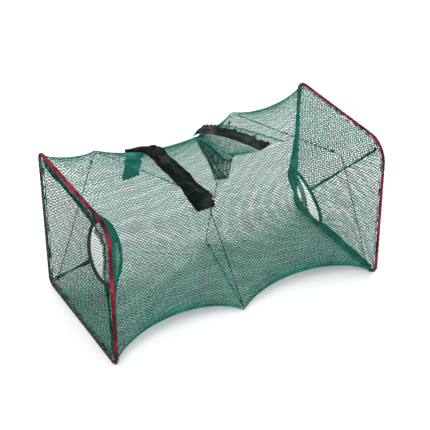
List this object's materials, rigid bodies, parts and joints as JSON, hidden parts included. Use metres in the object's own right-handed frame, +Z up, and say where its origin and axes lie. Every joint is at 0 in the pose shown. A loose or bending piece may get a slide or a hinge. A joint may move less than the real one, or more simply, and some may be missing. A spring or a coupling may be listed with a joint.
{
  "type": "folding crab trap",
  "caption": "Folding net trap: two square frames, a square coil spring between them, funnel entrances and a closable mouth.",
  "frame": {"origin": "centre of the footprint, at the lowest point of the two frames that the trap stands on", "axes": "+X from the left frame to the right frame, along the folding direction; +Y to the back; +Z up"},
  "size_m": [0.4658, 0.2458, 0.2458],
  "materials": {
    "spring_wire": "satin",
    "frame_wire": "satin",
    "binding": "matte",
    "ring": "matte",
    "net": "matte",
    "cord": "matte",
    "hook_tape": "matte",
    "loop_tape": "matte"
  },
  "bodies": {
    "left_frame": {"left_frame_wire": "frame_wire", "left_frame_binding": "binding", "coil_spring": "spring_wire", "left_end_tie": "cord", "left_funnel_back": "net", "left_funnel_top": "net", "left_funnel_front": "net", "left_funnel_bottom": "net", "net_front": "net", "net_back": "net", "net_bottom": "net", "net_top_near": "net", "net_top_far": "net", "near_closure_strip": "hook_tape", "mouth_near_hem": "cord"},
    "right_frame": {"right_frame_wire": "frame_wire", "right_frame_binding": "binding", "right_end_tie": "cord", "right_funnel_back": "net", "right_funnel_top": "net", "right_funnel_front": "net", "right_funnel_bottom": "net"},
    "left_ring": {"left_entrance_ring": "ring"},
    "right_ring": {"right_entrance_ring": "ring"},
    "mouth_lip": {"mouth_far_hem": "cord"},
    "mouth_flap": {"far_closure_strip": "loop_tape", "mouth_flap_net": "net"},
    "coil_corner_1": {"coil_tie_1": "cord"},
    "coil_corner_2": {"coil_tie_2": "cord"},
    "coil_corner_3": {"coil_tie_3": "cord"},
    "coil_corner_4": {"coil_tie_4": "cord"},
    "coil_corner_5": {"coil_tie_5": "cord"},
    "coil_corner_6": {"coil_tie_6": "cord"}
  },
  "joints": [
    {"name": "fold", "type": "slide", "parent": "left_frame", "child": "right_frame", "axis": [1, 0, 0], "range_m": [-0.42, 0], "stiffness_N_per_m": 12, "springref_m": 0.25, "deforming": ["coil_spring", "left_funnel_back", "left_funnel_top", "left_funnel_front", "left_funnel_bottom", "right_funnel_back", "right_funnel_top", "right_funnel_front", "right_funnel_bottom", "net_front", "net_back", "net_bottom", "net_top_near", "net_top_far", "near_closure_strip", "mouth_near_hem", "mouth_far_hem", "far_closure_strip", "mouth_flap_net"]},
    {"name": "left_ring_slide", "type": "slide", "parent": "left_frame", "child": "left_ring", "axis": [1, 0, 0], "range_m": [-0.0455, 0]},
    {"name": "right_ring_slide", "type": "slide", "parent": "right_frame", "child": "right_ring", "axis": [1, 0, 0], "range_m": [0, 0.0555]},
    {"name": "coil_corner_1_slide", "type": "slide", "parent": "left_frame", "child": "coil_corner_1", "axis": [1, 0, 0], "range_m": [-0.0684, 0]},
    {"name": "coil_corner_2_slide", "type": "slide", "parent": "left_frame", "child": "coil_corner_2", "axis": [1, 0, 0], "range_m": [-0.1438, 0]},
    {"name": "coil_corner_3_slide", "type": "slide", "parent": "left_frame", "child": "coil_corner_3", "axis": [1, 0, 0], "range_m": [-0.2059, 0]},
    {"name": "coil_corner_4_slide", "type": "slide", "parent": "left_frame", "child": "coil_corner_4", "axis": [1, 0, 0], "range_m": [-0.2437, 0]},
    {"name": "coil_corner_5_slide", "type": "slide", "parent": "left_frame", "child": "coil_corner_5", "axis": [1, 0, 0], "range_m": [-0.2891, 0]},
    {"name": "coil_corner_6_slide", "type": "slide", "parent": "left_frame", "child": "coil_corner_6", "axis": [1, 0, 0], "range_m": [-0.3578, 0]},
    {"name": "mouth_lip_slide", "type": "slide", "parent": "left_frame", "child": "mouth_lip", "axis": [1, 0, 0], "range_m": [-0.284, 0]},
    {"name": "mouth_flap_hinge", "type": "hinge", "parent": "mouth_lip", "child": "mouth_flap", "pos_m": [0.077, 0.035, 0.2323], "axis": [-0.4649, 0.8848, -0.0303], "range_deg": [-10, 95]}
  ],
  "couplings": [
    {"joint": "left_ring_slide", "follows": "fold", "ratio": 0.1071},
    {"joint": "right_ring_slide", "follows": "fold", "ratio": -0.131},
    {"joint": "coil_corner_1_slide", "follows": "fold", "ratio": 0.16157},
    {"joint": "coil_corner_2_slide", "follows": "fold", "ratio": 0.34111},
    {"joint": "coil_corner_3_slide", "follows": "fold", "ratio": 0.48907},
    {"joint": "coil_corner_4_slide", "follows": "fold", "ratio": 0.57913},
    {"joint": "coil_corner_5_slide", "follows": "fold", "ratio": 0.68724},
    {"joint": "coil_corner_6_slide", "follows": "fold", "ratio": 0.85074},
    {"joint": "mouth_lip_slide", "follows": "fold", "ratio": 0.675}
  ]
}
